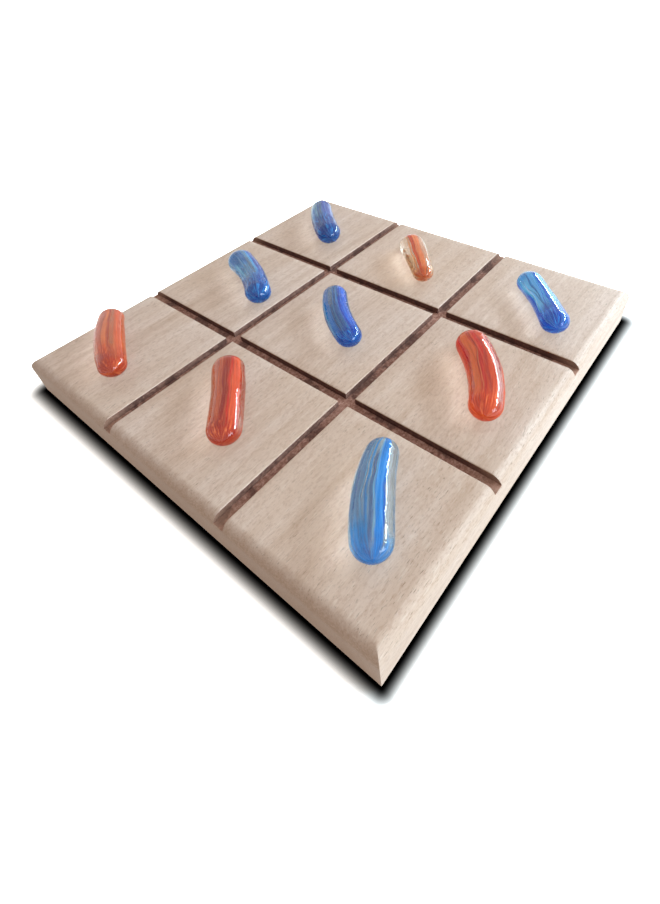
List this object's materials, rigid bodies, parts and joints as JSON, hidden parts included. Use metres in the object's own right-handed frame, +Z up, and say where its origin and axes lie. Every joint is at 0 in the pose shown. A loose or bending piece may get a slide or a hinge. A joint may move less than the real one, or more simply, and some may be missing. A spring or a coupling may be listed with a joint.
{
  "type": "tic tac toe set",
  "caption": "Square beech game board with crossed dark grooves that mark out its cells, and loose bent glass counters, clear outside with coloured glass inside.",
  "frame": {"origin": "centre of the board's underside", "axes": "+Z up out of the playing face, +Y along the wood grain, +X across it"},
  "size_m": [0.16, 0.16, 0.0246],
  "materials": {
    "beech": "sanded, unvarnished beech; groove walls and floors burnt dark brown",
    "clear_glass": "fire-polished clear glass",
    "blue_glass": "streaked cobalt and pale blue glass inside the clear casing",
    "orange_glass": "streaked orange-red glass inside the clear casing"
  },
  "bodies": {
    "board": {"board": "beech"},
    "blue_counter_1": {"blue_counter_1_casing": "clear_glass", "blue_counter_1_core": "blue_glass"},
    "blue_counter_2": {"blue_counter_2_casing": "clear_glass", "blue_counter_2_core": "blue_glass"},
    "blue_counter_3": {"blue_counter_3_casing": "clear_glass", "blue_counter_3_core": "blue_glass"},
    "blue_counter_4": {"blue_counter_4_casing": "clear_glass", "blue_counter_4_core": "blue_glass"},
    "blue_counter_5": {"blue_counter_5_casing": "clear_glass", "blue_counter_5_core": "blue_glass"},
    "orange_counter_1": {"orange_counter_1_casing": "clear_glass", "orange_counter_1_core": "orange_glass"},
    "orange_counter_2": {"orange_counter_2_casing": "clear_glass", "orange_counter_2_core": "orange_glass"},
    "orange_counter_3": {"orange_counter_3_casing": "clear_glass", "orange_counter_3_core": "orange_glass"},
    "orange_counter_4": {"orange_counter_4_casing": "clear_glass", "orange_counter_4_core": "orange_glass"}
  },
  "joints": [
    {"name": "blue_counter_1_lift", "type": "slide", "parent": "board", "child": "blue_counter_1", "axis": [0, 0, 1], "range_m": [0, 0.06]},
    {"name": "blue_counter_2_lift", "type": "slide", "parent": "board", "child": "blue_counter_2", "axis": [0, 0, 1], "range_m": [0, 0.06]},
    {"name": "blue_counter_3_lift", "type": "slide", "parent": "board", "child": "blue_counter_3", "axis": [0, 0, 1], "range_m": [0, 0.06]},
    {"name": "blue_counter_4_lift", "type": "slide", "parent": "board", "child": "blue_counter_4", "axis": [0, 0, 1], "range_m": [0, 0.06]},
    {"name": "blue_counter_5_lift", "type": "slide", "parent": "board", "child": "blue_counter_5", "axis": [0, 0, 1], "range_m": [0, 0.06]},
    {"name": "orange_counter_1_lift", "type": "slide", "parent": "board", "child": "orange_counter_1", "axis": [0, 0, 1], "range_m": [0, 0.06]},
    {"name": "orange_counter_2_lift", "type": "slide", "parent": "board", "child": "orange_counter_2", "axis": [0, 0, 1], "range_m": [0, 0.06]},
    {"name": "orange_counter_3_lift", "type": "slide", "parent": "board", "child": "orange_counter_3", "axis": [0, 0, 1], "range_m": [0, 0.06]},
    {"name": "orange_counter_4_lift", "type": "slide", "parent": "board", "child": "orange_counter_4", "axis": [0, 0, 1], "range_m": [0, 0.06]}
  ]
}
